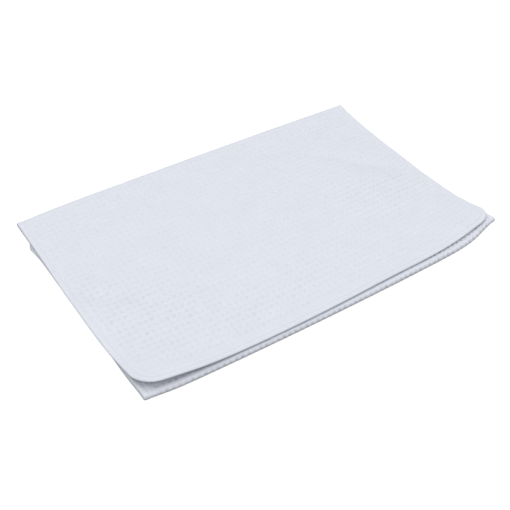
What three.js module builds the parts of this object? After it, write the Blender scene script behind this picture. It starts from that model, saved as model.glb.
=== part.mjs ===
import * as THREE from 'three';

// A white waffle-weave dishcloth, folded back and forth in three layers, lying on a flat surface.
// Millimetres, +Z up. The origin is the middle of its footprint, on that surface.
// X runs along the folds. The cloth starts at the bottom layer's hidden back edge, turns at the
// front fold, comes back as the middle layer, turns at the back fold and ends at the free front edge.

// The flat cloth: its width, its thickness and the radius of its four corners.
const CLOTH = { width: 400, thickness: 2, cornerRadius: 20 };

// The flat length of each layer between the folds.
const LAYERS = { bottom: 243, middle: 263, top: 263 };

// A fold turns at this radius of the cloth's middle. Away from it the layers settle to layerStep.
const FOLD = { radius: 1.75, layerStep: 2.7, swellReach: 26 };

// Where the folds turn, at the cloth's sides, and how far they bow out half way along.
const PLAN = { middleX: 2, frontFold: -127, frontBow: 4, backFold: 130, backBow: 1.8 };

// The sides: the right one is drawn in to a waist, the left one leans with y.
const WAIST = { depth: 10, y: -21, reachBack: 155, reachFront: 110, startU: -60 };
const SIDES = { leftIn: 0.87, leftLean: 0.0177, rightIn: 1.7 };

// Half the thickness from the rim inwards: rounded rim, turned hem, sewn groove, ridge, plain cloth.
const HEM_PROFILE = [
  { inset: 0, half: 0.7 },
  { inset: 1.2, half: 1.15 },
  { inset: 4.5, half: 1.15 },
  { inset: 6, half: 0.85 },
  { inset: 7.8, half: 1.08 },
  { inset: 10, half: 1 },
];

// Layers are numbered 0 bottom, 1 middle, 2 top, and a fold runs from one number to the next.
// Corners and edges that lie drawn in or pushed out, with the reach of each along x and y.
const TUGS = [
  { from: 0, to: 1, x: -198, y: -129, dx: 2, dy: 2.5, reachX: 24, reachY: 26 },
  { from: 0, to: 1, x: -198, y: -61, dx: 1.5, dy: 0, reachX: 50, reachY: 55 },
  { from: 0, to: 1, x: 202, y: -129, dx: -5.5, dy: 6.5, reachX: 32, reachY: 36 },
  { from: 2, to: 2, x: 192, y: -124, dx: -4, dy: 6, reachX: 62, reachY: 50 },
  { from: 2, to: 2, x: 70, y: -130, dx: 0, dy: 2.5, reachX: 70, reachY: 40 },
  { from: 2, to: 2, x: -194, y: -122, dx: 1.5, dy: 2.8, reachX: 36, reachY: 40 },
  { from: 2, to: 2, x: -200, y: -10, dx: -2, dy: 0, reachX: 30, reachY: 85 },
  { from: 0, to: 0, x: -198, y: 100, dx: -2.5, dy: 0, reachX: 40, reachY: 18 },
  { from: 1, to: 2, x: -198, y: 133, dx: 0, dy: -1.6, reachX: 26, reachY: 30 },
];

// Curled corners, soft rises and troughs, from the layer named upwards. A trough has a negative rise.
// long and short are the reach along and across the crease, which is turned by turn degrees from x.
const LIFTS = [
  { from: 2, x: -190, y: -124, rise: 6.5, long: 56, short: 36, turn: 0 },
  { from: 0, x: 207, y: -131, rise: 7.5, long: 42, short: 42, turn: 0 },
  { from: 2, x: 188, y: -118, rise: 0.8, long: 45, short: 45, turn: 0 },
  { from: 2, x: 2, y: 4, rise: 1.3, long: 190, short: 110, turn: 0 },
  { from: 2, x: 142, y: 17, rise: 2.3, long: 75, short: 45, turn: -50 },
  { from: 2, x: 146, y: 24, rise: -3.2, long: 50, short: 13, turn: -52 },
  { from: 2, x: 120, y: -8, rise: 0.7, long: 45, short: 16, turn: -45 },
  { from: 2, x: -172, y: -18, rise: 1.8, long: 48, short: 32, turn: -42 },
  { from: 2, x: -163, y: -16, rise: -1.7, long: 40, short: 9, turn: -42 },
  { from: 2, x: -100, y: 96, rise: 0.9, long: 40, short: 14, turn: -55 },
  { from: 2, x: 62, y: -44, rise: -0.9, long: 30, short: 14, turn: -48 },
];

// How finely the cloth is divided: insets of the lines along its edges, then even steps.
const MESH = {
  edgeInsets: [0, 1.2, 4.5, 6, 7.8, 10, 15, 20],
  stepsAcross: 20,
  bottomSteps: 12,
  middleSteps: 14,
  topSteps: 15,
  foldSteps: 8,
};
const SLOPE_STEP = 0.01;

const halfWidth = CLOTH.width / 2;
const foldLength = Math.PI * FOLD.radius;
const frontFoldStart = LAYERS.bottom;
const frontFoldEnd = frontFoldStart + foldLength;
const backFoldStart = frontFoldEnd + LAYERS.middle;
const backFoldEnd = backFoldStart + foldLength;
const clothLength = backFoldEnd + LAYERS.top;
const floorHeight = CLOTH.thickness / 2;

const clamp01 = (t) => THREE.MathUtils.clamp(t, 0, 1);
const ease = (t) => THREE.MathUtils.smoothstep(t, 0, 1);
const mix = THREE.MathUtils.lerp;

function hemHalf(inset) {
  const outer = HEM_PROFILE.findLast((row) => row.inset <= inset);
  const inner = HEM_PROFILE.find((row) => row.inset > inset);
  if (!inner) return outer.half;
  return mix(outer.half, inner.half, (inset - outer.inset) / (inner.inset - outer.inset));
}

// A point of the square-cornered grid moved onto the round-cornered cloth, with its inset from the rim.
// In a corner each line of the grid at one inset becomes an arc about the corner's centre.
function roundCorner(u, s) {
  const r = CLOTH.cornerRadius;
  const atStart = s < clothLength / 2;
  const fromEnd = atStart ? s : clothLength - s;
  const a = Math.abs(u) - (halfWidth - r);
  const b = r - fromEnd;
  if (a <= 0 || b <= 0) return { u, s, inset: Math.min(halfWidth - Math.abs(u), fromEnd) };
  const radius = Math.max(a, b);
  const angle = a <= b ? (Math.PI / 4) * (a / b) : Math.PI / 2 - (Math.PI / 4) * (b / a);
  const across = Math.sign(u) * (halfWidth - r + radius * Math.sin(angle));
  const along = r - radius * Math.cos(angle);
  return { u: across, s: atStart ? along : clothLength - along, inset: r - radius };
}

// The folded section at one place across the cloth: y, z and the layer's number.
function section(u, s) {
  const bow = 1 - (u / halfWidth) ** 2;
  const front = PLAN.frontFold - PLAN.frontBow * bow;
  const back = PLAN.backFold + PLAN.backBow * bow;
  const depth = back - front;
  const swell = 2 * FOLD.radius - FOLD.layerStep;
  const frontSwell = (y) => swell * (1 - ease((y - front) / FOLD.swellReach));
  const middleHeight = (y) => floorHeight + FOLD.layerStep + frontSwell(y);
  if (s < frontFoldStart) {
    const y = front + depth * ((frontFoldStart - s) / LAYERS.middle);
    return { y, z: floorHeight, layer: 0 };
  }
  if (s < frontFoldEnd) {
    const turn = (s - frontFoldStart) / foldLength;
    const y = front - FOLD.radius * Math.sin(Math.PI * turn);
    return { y, z: floorHeight + FOLD.radius * (1 - Math.cos(Math.PI * turn)), layer: turn };
  }
  if (s < backFoldStart) {
    const y = front + depth * ((s - frontFoldEnd) / LAYERS.middle);
    return { y, z: middleHeight(y), layer: 1 };
  }
  if (s < backFoldEnd) {
    const turn = (s - backFoldStart) / foldLength;
    const y = back + FOLD.radius * Math.sin(Math.PI * turn);
    return { y, z: middleHeight(back) + FOLD.radius * (1 - Math.cos(Math.PI * turn)), layer: 1 + turn };
  }
  const y = back - depth * ((s - backFoldEnd) / LAYERS.middle);
  const topSwell = swell * (1 - ease((back - y) / FOLD.swellReach));
  return { y, z: middleHeight(y) + FOLD.layerStep + topSwell, layer: 2 };
}

function liftAt(x, y, row) {
  const angle = THREE.MathUtils.degToRad(row.turn);
  const along = (x - row.x) * Math.cos(angle) + (y - row.y) * Math.sin(angle);
  const across = (y - row.y) * Math.cos(angle) - (x - row.x) * Math.sin(angle);
  return row.rise * Math.exp(-((along / row.long) ** 2) - (across / row.short) ** 2);
}

// The middle of the cloth's thickness, in place, for a point of the flat cloth.
function clothPoint(u, s) {
  let { y, z, layer } = section(u, s);
  const waistReach = y > WAIST.y ? WAIST.reachBack : WAIST.reachFront;
  const waist = Math.max(0, 1 - ((y - WAIST.y) / waistReach) ** 2);
  const rightness = clamp01((u - WAIST.startU) / (halfWidth - WAIST.startU));
  let x = PLAN.middleX + u - WAIST.depth * waist * rightness ** 2;
  x += clamp01(-u / halfWidth) * (SIDES.leftIn - SIDES.leftLean * y);
  x -= clamp01(u / halfWidth) * SIDES.rightIn;
  for (const row of LIFTS) {
    z += clamp01(layer - row.from + 1) * liftAt(x, y, row);
  }
  for (const row of TUGS) {
    if (layer < row.from || layer > row.to) continue;
    const pull = Math.exp(-(((x - row.x) / row.reachX) ** 2) - ((y - row.y) / row.reachY) ** 2);
    x += row.dx * pull;
    y += row.dy * pull;
  }
  return new THREE.Vector3(x, y, z);
}

function clothNormal(u, s) {
  const across = clothPoint(u + SLOPE_STEP, s).sub(clothPoint(u - SLOPE_STEP, s));
  const along = clothPoint(u, s + SLOPE_STEP).sub(clothPoint(u, s - SLOPE_STEP));
  return across.cross(along).normalize();
}

function evenSteps(start, end, count) {
  return Array.from({ length: count }, (_, k) => mix(start, end, (k + 1) / count));
}

function gridLines() {
  const lastInset = MESH.edgeInsets.at(-1);
  const nearEnd = MESH.edgeInsets.slice(0, -1).reverse();
  const columns = [
    ...MESH.edgeInsets.map((inset) => inset - halfWidth),
    ...evenSteps(lastInset - halfWidth, halfWidth - lastInset, MESH.stepsAcross),
    ...nearEnd.map((inset) => halfWidth - inset),
  ];
  const rows = [
    ...MESH.edgeInsets,
    ...evenSteps(lastInset, frontFoldStart, MESH.bottomSteps),
    ...evenSteps(frontFoldStart, frontFoldEnd, MESH.foldSteps),
    ...evenSteps(frontFoldEnd, backFoldStart, MESH.middleSteps),
    ...evenSteps(backFoldStart, backFoldEnd, MESH.foldSteps),
    ...evenSteps(backFoldEnd, clothLength - lastInset, MESH.topSteps),
    ...nearEnd.map((inset) => clothLength - inset),
  ];
  return { columns, rows };
}

// The cloth as one closed solid: two faces set off from its middle, joined around the rim.
// Both faces rise with the hem's thickness, so that the underside stays flat on the surface.
function clothGeometry() {
  const { columns, rows } = gridLines();
  const under = [];
  const upper = [];
  for (const s of rows) {
    for (const u of columns) {
      const flat = roundCorner(u, s);
      const half = hemHalf(flat.inset);
      const middle = clothPoint(flat.u, flat.s);
      const normal = clothNormal(flat.u, flat.s);
      middle.z += half - floorHeight;
      under.push(...middle.clone().addScaledVector(normal, half));
      upper.push(...middle.clone().addScaledVector(normal, -half));
    }
  }
  const count = columns.length * rows.length;
  const at = (i, j) => j * columns.length + i;
  const index = [];
  const quad = (a, b, c, d) => index.push(a, b, c, a, c, d);
  const lastColumn = columns.length - 1;
  const lastRow = rows.length - 1;
  for (let j = 0; j < lastRow; j += 1) {
    for (let i = 0; i < lastColumn; i += 1) {
      const corners = [at(i, j), at(i + 1, j), at(i + 1, j + 1), at(i, j + 1)];
      quad(...corners);
      quad(...corners.reverse().map((k) => k + count));
    }
  }
  const rim = [];
  for (let i = 0; i < lastColumn; i += 1) rim.push(at(i, 0));
  for (let j = 0; j < lastRow; j += 1) rim.push(at(lastColumn, j));
  for (let i = lastColumn; i > 0; i -= 1) rim.push(at(i, lastRow));
  for (let j = lastRow; j > 0; j -= 1) rim.push(at(0, j));
  rim.forEach((here, k) => {
    const next = rim[(k + 1) % rim.length];
    quad(here, here + count, next + count, next);
  });
  const geometry = new THREE.BufferGeometry();
  geometry.setAttribute('position', new THREE.Float32BufferAttribute([...under, ...upper], 3));
  geometry.setIndex(index);
  geometry.computeVertexNormals();
  return geometry;
}

const whiteCloth = new THREE.MeshStandardMaterial({ color: 0xe4e8f1, roughness: 0.95, metalness: 0 });
const dishcloth = new THREE.Mesh(clothGeometry(), whiteCloth);
dishcloth.name = 'dishcloth';

const foldedCloth = new THREE.Group();
foldedCloth.add(dishcloth);

export default foldedCloth;
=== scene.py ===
import bpy
import math
import numpy as np
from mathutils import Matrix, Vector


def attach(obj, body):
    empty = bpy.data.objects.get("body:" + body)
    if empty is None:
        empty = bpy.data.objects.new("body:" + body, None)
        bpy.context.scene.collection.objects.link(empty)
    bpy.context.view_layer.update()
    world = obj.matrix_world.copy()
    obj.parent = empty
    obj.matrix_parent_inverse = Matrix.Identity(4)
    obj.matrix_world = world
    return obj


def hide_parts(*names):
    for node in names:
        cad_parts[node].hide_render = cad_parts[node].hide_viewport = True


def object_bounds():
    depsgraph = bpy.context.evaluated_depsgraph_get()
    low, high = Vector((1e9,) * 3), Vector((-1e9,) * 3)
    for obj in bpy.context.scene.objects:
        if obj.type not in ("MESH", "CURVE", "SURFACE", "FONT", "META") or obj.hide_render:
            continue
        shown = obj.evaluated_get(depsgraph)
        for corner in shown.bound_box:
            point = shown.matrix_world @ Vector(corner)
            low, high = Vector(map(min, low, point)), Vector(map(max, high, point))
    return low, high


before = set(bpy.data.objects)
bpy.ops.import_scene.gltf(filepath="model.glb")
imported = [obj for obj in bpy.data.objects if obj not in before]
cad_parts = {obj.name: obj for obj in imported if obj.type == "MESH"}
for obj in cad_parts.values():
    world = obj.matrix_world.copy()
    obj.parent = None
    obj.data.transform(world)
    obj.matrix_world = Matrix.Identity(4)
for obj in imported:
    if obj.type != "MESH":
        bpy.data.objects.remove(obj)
cadLow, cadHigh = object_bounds()
print("frame loaded:", ", ".join(sorted(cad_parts)))

mm = 0.001  # the cloth is laid out in millimetres and turned to metres as its mesh is filled

# The cloth starts at the bottom layer's hidden back edge, turns at the front fold, comes back as the
# middle layer, turns at the back fold and ends at the free front edge of the top layer.
# "across" runs over its width from the middle, "along" from its first edge to its last.
dishcloth = {
    "width": 400,
    "thickness": 2,
    "cornerRadius": 20,
    "bottomLayer": 243,  # flat lengths between the folds
    "middleLayer": 263,
    "topLayer": 263,
    "foldRadius": 1.75,
    "layerStep": 2.7,
    "swellReach": 26,
    "middleX": 2,
    "frontFold": -127,
    "frontBow": 4,
    "backFold": 130,
    "backBow": 1.8,
    "waist": {"depth": 10, "y": -21, "reachBack": 155, "reachFront": 110, "startsAt": -60},
    "sides": {"leftIn": 0.87, "leftLean": 0.0177, "rightIn": 1.7},
    # inset from the rim, half thickness: rounded rim, turned hem, sewn groove, ridge, plain cloth
    "hem": [(0, 0.7), (0.4, 0.98), (1.2, 1.15), (4.5, 1.15), (6, 0.85), (7.8, 1.08), (10, 1)],
    "topGroove": [(4.5, 0), (6, 0.25), (7.8, 0)],  # inset, how much deeper the sewn groove is on top
    # inset, how far the face below is cut back: its rounded rim and its sewn groove
    "hemBelow": [(0, 0.7), (0.45, 0.45), (1.2, 0.2), (2.8, 0), (4.7, 0), (6, 0.3), (7.4, 0)],
    # first layer, last layer, x, y, dx, dy, reachX, reachY: corners drawn in or pushed out
    "tugs": [
        (0, 1, -198, -129, 2, 2.5, 24, 26),
        (0, 1, -198, -61, 1.5, 0, 50, 55),
        (0, 1, 202, -129, -5.5, 6.5, 32, 36),
        (2, 2, 192, -124, -4, 6, 62, 50),
        (2, 2, 70, -130, 0, 2.5, 70, 40),
        (2, 2, -194, -122, 1.5, 2.8, 36, 40),
        (2, 2, -200, -10, -2, 0, 30, 85),
        (0, 0, -198, 100, -2.5, 0, 40, 18),
        (1, 2, -198, 133, 0, -1.6, 26, 30),
    ],
    # first layer, x, y, rise, reach along, reach across, turn in degrees: curls, rises and troughs
    "lifts": [
        (2, -190, -124, 6.5, 56, 36, 0),
        (0, 207, -131, 7.5, 42, 42, 0),
        (2, 188, -118, 0.8, 45, 45, 0),
        (2, 2, 4, 1.3, 190, 110, 0),
        (2, 142, 17, 2.3, 75, 45, -50),
        (2, 146, 24, -3.2, 50, 13, -52),
        (2, 120, -8, 0.7, 45, 16, -45),
        (2, -172, -18, 1.8, 48, 32, -42),
        (2, -163, -16, -1.7, 40, 9, -42),
        (2, -100, 96, 0.9, 40, 14, -55),
        (2, 62, -44, -0.9, 30, 14, -48),
    ],
    # as the lifts, but sharper: creases in the skin of the top layer
    "creases": [
        (2, 150, 26, -0.9, 44, 6, -50),
        (2, 143, 19, 0.6, 44, 6, -50),
        (2, -166, -14, -0.5, 36, 6, -42),
    ],
    "flatSheet": (0.40, 0.78),  # metres, as cut
}

halfWidth = dishcloth["width"] / 2
halfThickness = dishcloth["thickness"] / 2
foldLength = math.pi * dishcloth["foldRadius"]
frontStart = dishcloth["bottomLayer"]
frontEnd = frontStart + foldLength
backStart = frontEnd + dishcloth["middleLayer"]
backEnd = backStart + foldLength
clothLength = backEnd + dishcloth["topLayer"]


def clamp01(t):
    return np.clip(t, 0.0, 1.0)


def ease(t):
    t = clamp01(t)
    return t * t * (3 - 2 * t)


def tableAt(inset, rows):
    places, values = zip(*rows)
    return np.interp(inset, places, values)


# Moves the square grid onto the round-cornered cloth and gives each point's inset from the rim.
def roundCorner(across, along):
    radius = dishcloth["cornerRadius"]
    atStart = along < clothLength / 2
    fromEnd = np.where(atStart, along, clothLength - along)
    a = np.abs(across) - (halfWidth - radius)
    b = radius - fromEnd
    inCorner = (a > 0) & (b > 0)
    a = np.where(inCorner, a, 1.0)
    b = np.where(inCorner, b, 1.0)
    ring = np.maximum(a, b)
    turn = np.where(a <= b, math.pi / 4 * a / b, math.pi / 2 - math.pi / 4 * b / a)
    arcAcross = np.sign(across) * (halfWidth - radius + ring * np.sin(turn))
    arcEnd = radius - ring * np.cos(turn)
    inset = np.where(inCorner, radius - ring, np.minimum(halfWidth - np.abs(across), fromEnd))
    across = np.where(inCorner, arcAcross, across)
    fromEnd = np.where(inCorner, arcEnd, fromEnd)
    return across, np.where(atStart, fromEnd, clothLength - fromEnd), inset


# The folded section: y, z and the layer's number, 0 bottom, 1 middle, 2 top.
def foldedSection(across, along):
    bow = 1 - (across / halfWidth) ** 2
    front = dishcloth["frontFold"] - dishcloth["frontBow"] * bow
    back = dishcloth["backFold"] + dishcloth["backBow"] * bow
    scale = (back - front) / dishcloth["middleLayer"]
    radius = dishcloth["foldRadius"]
    step = dishcloth["layerStep"]
    swell = 2 * radius - step

    def middleHeight(y):
        return halfThickness + step + swell * (1 - ease((y - front) / dishcloth["swellReach"]))

    frontTurn = clamp01((along - frontStart) / foldLength)
    backTurn = clamp01((along - backStart) / foldLength)
    middleY = front + scale * (along - frontEnd)
    topY = back - scale * (along - backEnd)
    topHeight = middleHeight(topY) + step + swell * (1 - ease((back - topY) / dishcloth["swellReach"]))
    stretch = [along < frontStart, along < frontEnd, along < backStart, along < backEnd]
    y = np.select(stretch, [
        front + scale * (frontStart - along),
        front - radius * np.sin(math.pi * frontTurn),
        middleY,
        back + radius * np.sin(math.pi * backTurn),
    ], topY)
    z = np.select(stretch, [
        np.full_like(y, halfThickness),
        halfThickness + radius * (1 - np.cos(math.pi * frontTurn)),
        middleHeight(middleY),
        middleHeight(back) + radius * (1 - np.cos(math.pi * backTurn)),
    ], topHeight)
    layer = np.select(stretch, [np.zeros_like(y), frontTurn, np.ones_like(y), 1 + backTurn], 2.0)
    return y, z, layer


# The middle of the cloth's thickness, in place.
def clothMiddle(across, along):
    y, z, layer = foldedSection(across, along)
    waist = dishcloth["waist"]
    sides = dishcloth["sides"]
    reach = np.where(y > waist["y"], waist["reachBack"], waist["reachFront"])
    drawn = np.clip(1 - ((y - waist["y"]) / reach) ** 2, 0, None)
    rightness = clamp01((across - waist["startsAt"]) / (halfWidth - waist["startsAt"]))
    x = dishcloth["middleX"] + across - waist["depth"] * drawn * rightness ** 2
    x = x + clamp01(-across / halfWidth) * (sides["leftIn"] - sides["leftLean"] * y)
    x = x - clamp01(across / halfWidth) * sides["rightIn"]
    for first, liftX, liftY, rise, reachLong, reachShort, turn in dishcloth["lifts"] + dishcloth["creases"]:
        cos, sin = math.cos(math.radians(turn)), math.sin(math.radians(turn))
        down = ((x - liftX) * cos + (y - liftY) * sin) / reachLong
        over = ((y - liftY) * cos - (x - liftX) * sin) / reachShort
        z = z + clamp01(layer - first + 1) * rise * np.exp(-down ** 2 - over ** 2)
    for first, last, tugX, tugY, dx, dy, reachX, reachY in dishcloth["tugs"]:
        pull = np.exp(-((x - tugX) / reachX) ** 2 - ((y - tugY) / reachY) ** 2)
        pull = np.where((layer >= first) & (layer <= last), pull, 0.0)
        x = x + dx * pull
        y = y + dy * pull
    return np.stack([x, y, z], -1)


# One face of the cloth: side 1 is outside the front fold, side -1 outside the back fold and on top.
def clothFace(across, along, side, slopeStep=0.01):
    across, along, inset = roundCorner(across, along)
    half = tableAt(inset, dishcloth["hem"])
    overWidth = clothMiddle(across + slopeStep, along) - clothMiddle(across - slopeStep, along)
    overLength = clothMiddle(across, along + slopeStep) - clothMiddle(across, along - slopeStep)
    outward = side * np.cross(overWidth, overLength)
    outward /= np.linalg.norm(outward, axis=-1, keepdims=True)
    place = clothMiddle(across, along)
    place[..., 2] += half - halfThickness
    cutBack = tableAt(inset, dishcloth["hemBelow"]) * clamp01(-outward[..., 2])
    onTop = (along > backEnd) & (side < 0)
    groove = np.where(onTop, tableAt(inset, dishcloth["topGroove"]), 0.0)
    place += outward * (half - cutBack - groove)[..., None]
    return {"place": place, "outward": outward, "across": across, "along": along, "inset": inset}


# How finely each stretch of each face is divided. A waffle cell gets its lines where its pit begins
# and ends and where its ridge begins and ends. Hidden stretches are plain and coarse.
grid = {
    "hemLines": [0, 0.15, 0.45, 1.2, 2.8, 4.5, 5.2, 6, 6.9, 7.8, 8.9, 10],
    "hiddenHemLines": [0, 0.45, 1.2, 4.5, 6, 7.8, 10],
    "shownShares": (0.2, 0.38, 0.62, 0.8),
    "undersideShares": (0.25, 0.75),
    "hiddenStep": 11,
    "foldStep": 0.55,
    "clearance": 0.45,  # least distance between two lines
    "frontShows": 45,  # how far the middle layer is finished behind the front fold
    "foldLead": 4,  # a shown band begins this far before its fold
    "bandGap": 1.5,  # between two bands, taken up by the zip
}

waffle = {
    "pitchAcross": 5.964,
    "pitchAlong": 7.036,
    "pitDepth": 1.1,
    "pitFloor": 0.24,  # shares of the half cell, from the pit's middle
    "ridgeFrom": 0.6,
    "hemWidth": 8.5,  # the weave fades in from here
    "hemFade": 4.0,
    "unevenness": 0.5,
    "seed": 7,
    "otherFacePhase": 0.5,  # the other face has its pits between these
    "undersideOpen": 0.7,  # how far the cells stand open, from 0 to 1
    "foldOpen": 1.0,
    "closed": 0.5,  # on top, where the weave lies closed
    # x, y, reach along x, reach along y, gain: places on top where the cells are pulled open
    "openPlaces": [
        (-150, -50, 42, 32, 0.9),
        (-180, 0, 22, 20, 0.4),
        (-60, -95, 90, 28, 0.35),
        (135, -25, 45, 30, 0.5),
    ],
}


def mergeLines(fixed, filler):
    fixed = np.array(sorted(set(fixed)))
    kept = [x for x in filler if np.min(np.abs(fixed - x)) > grid["clearance"]]
    return np.array(sorted([*fixed, *kept]))


def waffleLines(start, end, pitch, phase, shares):
    cells = range(math.floor(start / pitch) - 1, math.ceil(end / pitch) + 2)
    lines = [(cell + share - phase) * pitch for cell in cells for share in shares]
    return [x for x in lines if start < x < end]


def evenLines(start, end, step):
    return list(np.linspace(start, end, max(2, round((end - start) / step) + 1)))


def columnsOf(band):
    hemLines = grid["hemLines"] if band["shares"] else grid["hiddenHemLines"]
    inner = halfWidth - hemLines[-1]
    fixed = [inset - halfWidth for inset in hemLines] + [halfWidth - inset for inset in hemLines]
    if band["shares"]:
        filler = waffleLines(-inner, inner, waffle["pitchAcross"], band["phase"], band["shares"])
    else:
        filler = evenLines(-inner, inner, grid["hiddenStep"])
    return mergeLines(fixed, filler)


def rowsOf(band):
    start, end = band["from"], band["to"]
    hemLines = grid["hemLines"] if band["shares"] else grid["hiddenHemLines"]
    fixed = [*hemLines, *[clothLength - inset for inset in hemLines]]
    for foldFrom, foldTo in ((frontStart, frontEnd), (backStart, backEnd)):
        fixed += evenLines(foldFrom, foldTo, grid["foldStep"])
    fixed = [start, end] + [x for x in fixed if start < x < end]
    innerStart = max(start, hemLines[-1])
    innerEnd = min(end, clothLength - hemLines[-1])
    if band["shares"]:
        filler = waffleLines(innerStart, innerEnd, waffle["pitchAlong"], band["phase"], band["shares"])
    else:
        filler = evenLines(innerStart, innerEnd, grid["hiddenStep"])
    return mergeLines(fixed, filler)


# Triangles between two rows of points whose places along the row differ.
def zipRows(first, firstAt, second, secondAt):
    faces = []
    i = j = 0
    while i < len(first) - 1 or j < len(second) - 1:
        stepFirst = j == len(second) - 1 or (i < len(first) - 1 and firstAt[i + 1] <= secondAt[j + 1])
        if stepFirst:
            faces.append((first[i], first[i + 1], second[j]))
            i += 1
        else:
            faces.append((first[i], second[j + 1], second[j]))
            j += 1
    return faces


def flipped(faces):
    return [face[::-1] for face in faces]


# How far the waffle cells stand open, from 0 to 1.
def weaveOpenness(place, band):
    openness = np.full(place.shape[:-1], band["open"])
    for x, y, reachX, reachY, gain in band["openPlaces"]:
        away = ((place[..., 0] - x) / reachX) ** 2 + ((place[..., 1] - y) / reachY) ** 2
        openness += gain * np.exp(-away)
    return clamp01(openness)


# The bands of each face: shown ones with lines for the waffle cells, hidden ones plain.
def clothBands():
    gap, phase = grid["bandGap"], waffle["otherFacePhase"]
    shown, below = grid["shownShares"], grid["undersideShares"]
    foldFrom = frontStart - grid["foldLead"]
    foldTo = frontEnd + grid["frontShows"]
    topFrom = backStart - grid["foldLead"]
    columns = ("from", "to", "shares", "phase", "open", "openPlaces")
    rows = {
        1: [
            (0, foldFrom, below, phase, waffle["undersideOpen"], []),
            (foldFrom + gap, foldTo, shown, phase, waffle["foldOpen"], []),
            (foldTo + gap, clothLength, (), 0, 0.0, []),
        ],
        -1: [
            (0, topFrom - gap, (), 0, 0.0, []),
            (topFrom, clothLength, shown, 0, waffle["closed"], waffle["openPlaces"]),
        ],
    }
    return {side: [dict(zip(columns, row)) for row in rows[side]] for side in rows}


# Both faces of the cloth, their bands zipped together and closed around the rim.
def clothMesh():
    parts = []
    faces = []
    count = 0
    rims = {}
    for side, sideBands in clothBands().items():
        sideFaces = []
        left, right, alongAt = [], [], []
        last = None
        for band in sideBands:
            columns, rows = columnsOf(band), rowsOf(band)
            acrossGrid, alongGrid = np.meshgrid(columns, rows)
            part = clothFace(acrossGrid, alongGrid, side)
            part["phase"] = np.full_like(acrossGrid, band["phase"])
            part["openness"] = weaveOpenness(part["place"], band)
            parts.append(part)
            index = count + np.arange(acrossGrid.size).reshape(acrossGrid.shape)
            count += acrossGrid.size
            quads = np.stack([index[:-1, :-1], index[:-1, 1:], index[1:, 1:], index[1:, :-1]], -1)
            sideFaces += [tuple(quad) for quad in quads.reshape(-1, 4).tolist()]
            if last is None:
                firstRow = (index[0].tolist(), columns)
            else:
                sideFaces += flipped(zipRows(last[0], last[1], index[0].tolist(), columns))
            last = (index[-1].tolist(), columns)
            left += index[:, 0].tolist()
            right += index[:, -1].tolist()
            alongAt += rows.tolist()
        faces += sideFaces if side > 0 else flipped(sideFaces)
        rims[side] = {"left": (left, alongAt), "right": (right, alongAt), "start": firstRow, "end": last}
    for edge, turned in (("left", False), ("right", True), ("start", True), ("end", False)):
        strip = zipRows(*rims[1][edge], *rims[-1][edge])
        faces += flipped(strip) if turned else strip
    merged = {key: np.concatenate([part[key].reshape(-1, *part[key].shape[2:]) for part in parts])
              for key in parts[0]}
    return merged, faces


def storeAttribute(mesh, name, kind, values):
    attribute = mesh.attributes.new(name, kind, "POINT")
    field = "vector" if kind == "FLOAT_VECTOR" else "value"
    attribute.data.foreach_set(field, np.ascontiguousarray(values, np.float32).ravel())


def makeCloth():
    points, faces = clothMesh()
    mesh = bpy.data.meshes.new("dishclothSheet")
    mesh.from_pydata((points["place"] * mm).tolist(), [], faces)
    mesh.polygons.foreach_set("use_smooth", np.ones(len(mesh.polygons), bool))
    storeAttribute(mesh, "across", "FLOAT", points["across"] * mm)
    storeAttribute(mesh, "along", "FLOAT", points["along"] * mm)
    storeAttribute(mesh, "inset", "FLOAT", points["inset"] * mm)
    storeAttribute(mesh, "phase", "FLOAT", points["phase"])
    storeAttribute(mesh, "openness", "FLOAT", points["openness"])
    storeAttribute(mesh, "outward", "FLOAT_VECTOR", points["outward"])
    corners = np.zeros(len(mesh.loops), np.int32)
    mesh.loops.foreach_get("vertex_index", corners)
    flatPlace = np.stack([points["across"], points["along"]], -1) * mm
    uvMap = mesh.uv_layers.new(name="flatCloth")
    uvMap.data.foreach_set("uv", flatPlace[corners].astype(np.float32).ravel())
    mesh.update()
    cloth = bpy.data.objects.new("waffleCloth", mesh)
    bpy.context.scene.collection.objects.link(cloth)
    print("cloth sheet:", len(mesh.vertices), "points,", len(mesh.polygons), "faces")
    return cloth


# Node trees

def startTree(name, kind, inputs, outputs):
    tree = bpy.data.node_groups.new(name, kind)
    for label, socketType in inputs:
        tree.interface.new_socket(label, in_out="INPUT", socket_type=socketType)
    for label, socketType in outputs:
        tree.interface.new_socket(label, in_out="OUTPUT", socket_type=socketType)
    return tree, tree.nodes.new("NodeGroupInput").outputs, tree.nodes.new("NodeGroupOutput").inputs


def feed(tree, socket, value):
    if isinstance(value, bpy.types.NodeSocket):
        tree.links.new(value, socket)
    else:
        socket.default_value = value


def maths(tree, operation, *values):
    node = tree.nodes.new("ShaderNodeMath")
    node.operation = operation
    for socket, value in zip(node.inputs, values):
        feed(tree, socket, value)
    return node.outputs[0]


def softStep(tree, value, low, high):
    node = tree.nodes.new("ShaderNodeMapRange")
    node.interpolation_type = "SMOOTHSTEP"
    feed(tree, node.inputs["Value"], value)
    feed(tree, node.inputs["From Min"], low)
    feed(tree, node.inputs["From Max"], high)
    return node.outputs["Result"]


def readAttribute(tree, name, kind="FLOAT"):
    node = tree.nodes.new("GeometryNodeInputNamedAttribute")
    node.data_type = kind
    node.inputs["Name"].default_value = name
    return node.outputs["Attribute"]


def scaleVector(tree, vector, scale):
    node = tree.nodes.new("ShaderNodeVectorMath")
    node.operation = "SCALE"
    feed(tree, node.inputs[0], vector)
    feed(tree, node.inputs["Scale"], scale)
    return node.outputs[0]


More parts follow.
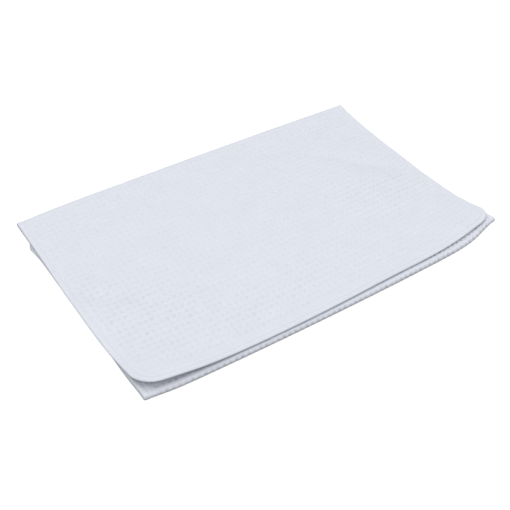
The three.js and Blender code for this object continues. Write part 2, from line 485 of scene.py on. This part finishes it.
def finishTree(tree, geometry, material, output):
    realize = tree.nodes.new("GeometryNodeRealizeInstances")
    setMaterial = tree.nodes.new("GeometryNodeSetMaterial")
    tree.links.new(geometry, realize.inputs[0])
    tree.links.new(realize.outputs[0], setMaterial.inputs["Geometry"])
    tree.links.new(material, setMaterial.inputs["Material"])
    tree.links.new(setMaterial.outputs[0], output)


# Runs a tree on an object and keeps the result as its plain mesh.
def applyTree(piece, tree, values):
    modifier = piece.modifiers.new(tree.name, "NODES")
    modifier.node_group = tree
    for item in tree.interface.items_tree:
        if item.in_out == "INPUT" and item.name in values:
            modifier[item.identifier] = values[item.name]
    depsgraph = bpy.context.evaluated_depsgraph_get()
    made = bpy.data.meshes.new_from_object(
        piece.evaluated_get(depsgraph), preserve_all_data_layers=True, depsgraph=depsgraph)
    piece.modifiers.clear()
    base = piece.data
    piece.data = made
    bpy.data.meshes.remove(base)
    made.name = piece.name


# Sinks a pit into each waffle cell, away from the hem. Every cell is a little different.
def waffleTree():
    tree, given, result = startTree("waffleRelief", "GeometryNodeTree", [
        ("Sheet", "NodeSocketGeometry"),
        ("Pitch Across", "NodeSocketFloat"),
        ("Pitch Along", "NodeSocketFloat"),
        ("Pit Depth", "NodeSocketFloat"),
        ("Pit Floor", "NodeSocketFloat"),
        ("Ridge From", "NodeSocketFloat"),
        ("Hem Width", "NodeSocketFloat"),
        ("Hem Fade", "NodeSocketFloat"),
        ("Unevenness", "NodeSocketFloat"),
        ("Seed", "NodeSocketInt"),
        ("Cloth", "NodeSocketMaterial"),
    ], [("Sheet", "NodeSocketGeometry")])
    phase = readAttribute(tree, "phase")
    walls, cells = [], []
    for name, pitch in (("across", "Pitch Across"), ("along", "Pitch Along")):
        cell = maths(tree, "ADD", maths(tree, "DIVIDE", readAttribute(tree, name), given[pitch]), phase)
        cells.append(maths(tree, "FLOOR", cell))
        fromPit = maths(tree, "ABSOLUTE", maths(tree, "SUBTRACT", maths(tree, "FRACT", cell), 0.5))
        wall = softStep(tree, maths(tree, "MULTIPLY", fromPit, 2.0), given["Pit Floor"], given["Ridge From"])
        walls.append(maths(tree, "SUBTRACT", 1.0, wall))
    pit = maths(tree, "MULTIPLY", *walls)
    chance = tree.nodes.new("FunctionNodeRandomValue")
    chance.data_type = "FLOAT"
    rowStride = 97.0  # more than the cells in one row
    cellId = maths(tree, "ADD", cells[0], maths(tree, "MULTIPLY", cells[1], rowStride))
    feed(tree, chance.inputs["ID"], cellId)
    feed(tree, chance.inputs["Seed"], given["Seed"])
    spread = maths(tree, "MULTIPLY", next(s for s in chance.outputs if s.enabled), given["Unevenness"])
    pit = maths(tree, "MULTIPLY", pit, maths(tree, "SUBTRACT", 1.0, spread))
    inner = maths(tree, "ADD", given["Hem Width"], given["Hem Fade"])
    offHem = softStep(tree, readAttribute(tree, "inset"), given["Hem Width"], inner)
    pit = maths(tree, "MULTIPLY", pit, offHem)
    pit = maths(tree, "MULTIPLY", pit, readAttribute(tree, "openness"))
    sink = maths(tree, "MULTIPLY", maths(tree, "MULTIPLY", pit, given["Pit Depth"]), -1.0)
    setPosition = tree.nodes.new("GeometryNodeSetPosition")
    feed(tree, setPosition.inputs["Geometry"], given["Sheet"])
    outward = readAttribute(tree, "outward", "FLOAT_VECTOR")
    feed(tree, setPosition.inputs["Offset"], scaleVector(tree, outward, sink))
    store = tree.nodes.new("GeometryNodeStoreNamedAttribute")
    store.data_type = "FLOAT"
    store.domain = "POINT"
    store.inputs["Name"].default_value = "pit"
    feed(tree, store.inputs["Geometry"], setPosition.outputs[0])
    feed(tree, next(s for s in store.inputs if s.name == "Value" and s.enabled), pit)
    finishTree(tree, store.outputs[0], given["Cloth"], result[0])
    return tree


# White thread sewn along the hem's groove, on the faces that can be seen.
hemThread = {
    "inset": 6.0,
    "pitch": 2.9,
    "stitch": 2.3,  # length of the thread seen between two holes
    "width": 0.5,
    "height": 0.34,
    "pathStep": 1.2,
    "segments": 6,
    "rings": 5,
}


# The places sewn on one face: down the left side, across the free end and up the right side.
def sewnPath(side, innerAlong, endAlong):
    inset = hemThread["inset"]
    edge = halfWidth - inset
    towardsEnd = 1 if endAlong > innerAlong else -1
    stop = endAlong - towardsEnd * inset
    down = np.array(evenLines(0, abs(stop - innerAlong), hemThread["pathStep"])) * towardsEnd + innerAlong
    over = np.array(evenLines(-edge, edge, hemThread["pathStep"]))[1:-1]
    across = np.concatenate([np.full_like(down, -edge), over, np.full_like(down, edge)])
    along = np.concatenate([down, np.full_like(over, stop), down[::-1]])
    return clothFace(across, along, side)


def makeThreadPath(paths):
    places = np.concatenate([path["place"] for path in paths])
    outward = np.concatenate([path["outward"] for path in paths])
    edges, first = [], 0
    for path in paths:
        length = len(path["place"])
        edges += [(first + k, first + k + 1) for k in range(length - 1)]
        first += length
    mesh = bpy.data.meshes.new("hemLine")
    mesh.from_pydata((places * mm).tolist(), edges, [])
    storeAttribute(mesh, "outward", "FLOAT_VECTOR", outward)
    thread = bpy.data.objects.new("hemStitches", mesh)
    bpy.context.scene.collection.objects.link(thread)
    return thread


def stitchTree():
    tree, given, result = startTree("hemStitching", "GeometryNodeTree", [
        ("Line", "NodeSocketGeometry"),
        ("Pitch", "NodeSocketFloat"),
        ("Stitch", "NodeSocketVector"),
        ("Thread", "NodeSocketMaterial"),
    ], [("Stitches", "NodeSocketGeometry")])
    curve = tree.nodes.new("GeometryNodeMeshToCurve")
    resample = tree.nodes.new("GeometryNodeResampleCurve")
    resample.mode = "LENGTH"
    bead = tree.nodes.new("GeometryNodeMeshUVSphere")
    bead.inputs["Segments"].default_value = hemThread["segments"]
    bead.inputs["Rings"].default_value = hemThread["rings"]
    bead.inputs["Radius"].default_value = 0.5  # one unit long, scaled to the stitch
    rotation = tree.nodes.new("FunctionNodeAxesToRotation")
    rotation.primary_axis = "X"
    rotation.secondary_axis = "Z"
    place = tree.nodes.new("GeometryNodeInstanceOnPoints")
    feed(tree, curve.inputs[0], given["Line"])
    feed(tree, resample.inputs["Curve"], curve.outputs[0])
    feed(tree, resample.inputs["Length"], given["Pitch"])
    feed(tree, rotation.inputs["Primary Axis"], tree.nodes.new("GeometryNodeInputTangent").outputs[0])
    feed(tree, rotation.inputs["Secondary Axis"], readAttribute(tree, "outward", "FLOAT_VECTOR"))
    feed(tree, place.inputs["Points"], resample.outputs[0])
    feed(tree, place.inputs["Instance"], bead.outputs["Mesh"])
    feed(tree, place.inputs["Rotation"], rotation.outputs[0])
    feed(tree, place.inputs["Scale"], given["Stitch"])
    smooth = tree.nodes.new("GeometryNodeSetShadeSmooth")
    feed(tree, smooth.inputs[0], place.outputs[0])
    finishTree(tree, smooth.outputs[0], given["Thread"], result[0])
    return tree


# Finishes

cotton = {
    "colour": (0.761, 0.785, 0.845, 1),
    # the dark colour below serves darker yarn and the painted shade laid into the waffle pits
    "darkYarnAndPitShadeColour": (0.665, 0.69, 0.745, 1),
    "threadColour": (0.75, 0.78, 0.85, 1),
    "yarnPitch": 0.00062,
    "fuzzScale": 700,
    "mottleScale": 38,
    "fuzzDetail": 3.0,
    "mottleDetail": 2.0,
    "mottleShade": 0.6,  # how much each noise lightens the yarn
    "fuzzShade": 2.0,
    "shadeOffset": -0.8,
    "yarnTint": 0.7,  # how far dark yarn goes towards the dark colour, and below it how far the painted shade in the pits goes
    "paintedPitShade": 0.55,
    "weaveHeight": 0.5,
    "fuzzHeight": 0.9,
    "roughness": 0.9,
    "roughnessSpread": 0.12,
    "sheen": 0.12,
    "specular": 0.2,
    "bump": 0.35,
    "bumpDepth": 0.0003,
}


# Uneven cotton yarn: a fine over-and-under weave with a nap, for the cloth and its thread.
def yarnGroup():
    group, given, result = startTree("cottonYarn", "ShaderNodeTree", [
        ("Place", "NodeSocketVector"),
        ("Yarn Pitch", "NodeSocketFloat"),
        ("Fuzz Scale", "NodeSocketFloat"),
        ("Mottle Scale", "NodeSocketFloat"),
    ], [("Shade", "NodeSocketFloat"), ("Height", "NodeSocketFloat"), ("Roughness", "NodeSocketFloat")])
    split = group.nodes.new("ShaderNodeSeparateXYZ")
    feed(group, split.inputs[0], given["Place"])
    waves = []
    for axis in (0, 1):
        turns = maths(group, "DIVIDE", split.outputs[axis], given["Yarn Pitch"])
        waves.append(maths(group, "SINE", maths(group, "MULTIPLY", turns, math.pi)))
    weave = maths(group, "MULTIPLY_ADD", maths(group, "MULTIPLY", *waves), 0.5, 0.5)
    noises = []
    for scale, detail in (("Fuzz Scale", cotton["fuzzDetail"]), ("Mottle Scale", cotton["mottleDetail"])):
        noise = group.nodes.new("ShaderNodeTexNoise")
        feed(group, noise.inputs["Vector"], given["Place"])
        feed(group, noise.inputs["Scale"], given[scale])
        noise.inputs["Detail"].default_value = detail
        noises.append(noise.outputs["Fac"])
    fuzz, mottle = noises
    nap = maths(group, "MULTIPLY", fuzz, cotton["fuzzHeight"])
    feed(group, result["Height"], maths(group, "MULTIPLY_ADD", weave, cotton["weaveHeight"], nap))
    shade = maths(group, "MULTIPLY_ADD", fuzz, cotton["fuzzShade"], cotton["shadeOffset"])
    feed(group, result["Shade"], maths(group, "MULTIPLY_ADD", mottle, cotton["mottleShade"], shade))
    spread = cotton["roughnessSpread"]
    rough = maths(group, "MULTIPLY_ADD", fuzz, spread, cotton["roughness"] - spread / 2)
    feed(group, result["Roughness"], rough)
    return group


def clothFinish(name, group, colour, darkColour, usesFlatPlace):
    material = bpy.data.materials.new(name)
    material.use_nodes = True
    tree = material.node_tree
    shader = tree.nodes["Principled BSDF"]
    yarn = tree.nodes.new("ShaderNodeGroup")
    yarn.node_tree = group
    if usesFlatPlace:
        where = tree.nodes.new("ShaderNodeUVMap")
        where.uv_map = "flatCloth"
        place = where.outputs["UV"]
    else:
        place = tree.nodes.new("ShaderNodeTexCoord").outputs["Object"]
    feed(tree, yarn.inputs["Place"], place)
    yarn.inputs["Yarn Pitch"].default_value = cotton["yarnPitch"]
    yarn.inputs["Fuzz Scale"].default_value = cotton["fuzzScale"]
    yarn.inputs["Mottle Scale"].default_value = cotton["mottleScale"]
    tint = tree.nodes.new("ShaderNodeMix")
    tint.data_type = "RGBA"
    colourInputs = [socket for socket in tint.inputs if socket.type == "RGBA"]
    colourInputs[0].default_value = colour
    colourInputs[1].default_value = darkColour
    shade = maths(tree, "SUBTRACT", 1.0, yarn.outputs["Shade"])
    shade = maths(tree, "MULTIPLY", shade, cotton["yarnTint"])
    # painted shade: the deeper a waffle pit, the darker its colour
    if usesFlatPlace:
        pit = tree.nodes.new("ShaderNodeAttribute")
        pit.attribute_name = "pit"
        shade = maths(tree, "MULTIPLY_ADD", pit.outputs["Fac"], cotton["paintedPitShade"], shade)
    feed(tree, tint.inputs["Factor"], shade)
    tree.links.new(next(s for s in tint.outputs if s.type == "RGBA"), shader.inputs["Base Color"])
    tree.links.new(yarn.outputs["Roughness"], shader.inputs["Roughness"])
    shader.inputs["Sheen Weight"].default_value = cotton["sheen"]
    shader.inputs["Specular IOR Level"].default_value = cotton["specular"]
    bump = tree.nodes.new("ShaderNodeBump")
    bump.inputs["Strength"].default_value = cotton["bump"]
    bump.inputs["Distance"].default_value = cotton["bumpDepth"]
    tree.links.new(yarn.outputs["Height"], bump.inputs["Height"])
    tree.links.new(bump.outputs["Normal"], shader.inputs["Normal"])
    return material


cottonYarn = yarnGroup()
waffleCotton = clothFinish("waffleCotton", cottonYarn, cotton["colour"], cotton["darkYarnAndPitShadeColour"], True)
sewingCotton = clothFinish("sewingCotton", cottonYarn, cotton["threadColour"], cotton["colour"], False)

cloth = makeCloth()
applyTree(cloth, waffleTree(), {
    "Pitch Across": waffle["pitchAcross"] * mm,
    "Pitch Along": waffle["pitchAlong"] * mm,
    "Pit Depth": waffle["pitDepth"] * mm,
    "Pit Floor": waffle["pitFloor"],
    "Ridge From": waffle["ridgeFrom"],
    "Hem Width": waffle["hemWidth"] * mm,
    "Hem Fade": waffle["hemFade"] * mm,
    "Unevenness": waffle["unevenness"],
    "Seed": waffle["seed"],
    "Cloth": waffleCotton,
})
print("waffle relief:", sum(len(p.vertices) - 2 for p in cloth.data.polygons), "triangles")

stitches = makeThreadPath([
    sewnPath(-1, backStart, clothLength),
    sewnPath(1, frontEnd + grid["frontShows"], 0),
])
applyTree(stitches, stitchTree(), {
    "Pitch": hemThread["pitch"] * mm,
    "Stitch": (hemThread["stitch"] * mm, hemThread["width"] * mm, hemThread["height"] * mm),
    "Thread": sewingCotton,
})
print("hem stitches:", sum(len(p.vertices) - 2 for p in stitches.data.polygons), "triangles")

# Stage: a plain floor that the camera sees as white, two soft lamps and an even sky.
studio = {
    "floorSize": 6,
    "floorDrop": 0.0002,
    "floorColour": (0.15, 0.15, 0.16, 1),
    "floorGlow": 0.95,  # for the camera alone, so that little light bounces up
    "floorRoughness": 0.95,
    # name, place, size, power: each lamp looks at the middle of the floor
    "lamps": [
        ("overheadLamp", (0.1, 0.1, 1.6), 1.5, 7.2),
        ("frontLamp", (-0.9, -1.2, 2.6), 2.0, 22),
    ],
    "skyColour": (0.98, 0.98, 1.0, 1),
    "skyLight": 0.65,
    "cameraPlace": (-0.33693, -0.50869, 0.51285),
    "cameraYaw": 33.049,  # degrees from +Y towards +X
    "cameraPitch": 41.847,  # degrees below level
    "cameraLens": 57.104,
    "sensor": 36,
}


def makeFloor():
    half = studio["floorSize"] / 2
    height = cadLow.z - studio["floorDrop"]
    corners = [(-half, -half, height), (half, -half, height), (half, half, height), (-half, half, height)]
    mesh = bpy.data.meshes.new("floor")
    mesh.from_pydata(corners, [], [(0, 1, 2, 3)])
    floor = bpy.data.objects.new("floor", mesh)
    bpy.context.scene.collection.objects.link(floor)
    material = bpy.data.materials.new("paleFloor")
    material.use_nodes = True
    tree = material.node_tree
    shader = tree.nodes["Principled BSDF"]
    shader.inputs["Base Color"].default_value = studio["floorColour"]
    shader.inputs["Roughness"].default_value = studio["floorRoughness"]
    shader.inputs["Specular IOR Level"].default_value = 0.0
    shader.inputs["Emission Color"].default_value = (1, 1, 1, 1)
    seen = tree.nodes.new("ShaderNodeLightPath").outputs["Is Camera Ray"]
    tree.links.new(maths(tree, "MULTIPLY", seen, studio["floorGlow"]), shader.inputs["Emission Strength"])
    mesh.materials.append(material)


def makeLight():
    for name, place, size, power in studio["lamps"]:
        lamp = bpy.data.objects.new(name, bpy.data.lights.new(name, "AREA"))
        lamp.data.shape = "SQUARE"
        lamp.data.size = size
        lamp.data.energy = power
        bpy.context.scene.collection.objects.link(lamp)
        lamp.location = place
        lamp.rotation_euler = (-Vector(place)).to_track_quat("-Z", "Y").to_euler()
    world = bpy.data.worlds.new("softSky")
    bpy.context.scene.world = world
    world.use_nodes = True
    tree = world.node_tree
    sky = tree.nodes["Background"]
    sky.inputs["Color"].default_value = studio["skyColour"]
    seen = tree.nodes.new("ShaderNodeLightPath").outputs["Is Camera Ray"]
    tree.links.new(maths(tree, "MAXIMUM", seen, studio["skyLight"]), sky.inputs["Strength"])


def makeCamera():
    camera = bpy.data.objects.new("photoCamera", bpy.data.cameras.new("photoCamera"))
    camera.data.sensor_width = studio["sensor"]
    camera.data.lens = studio["cameraLens"]
    camera.location = studio["cameraPlace"]
    camera.rotation_euler = (math.radians(90 - studio["cameraPitch"]), 0, -math.radians(studio["cameraYaw"]))
    bpy.context.scene.collection.objects.link(camera)
    bpy.context.scene.camera = camera


makeFloor()
makeLight()
makeCamera()
bpy.context.scene.view_settings.view_transform = "Standard"
print("stage: floor, soft lamp, sky and camera")

for piece in (cloth, stitches):
    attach(piece, "root")
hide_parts("dishcloth")
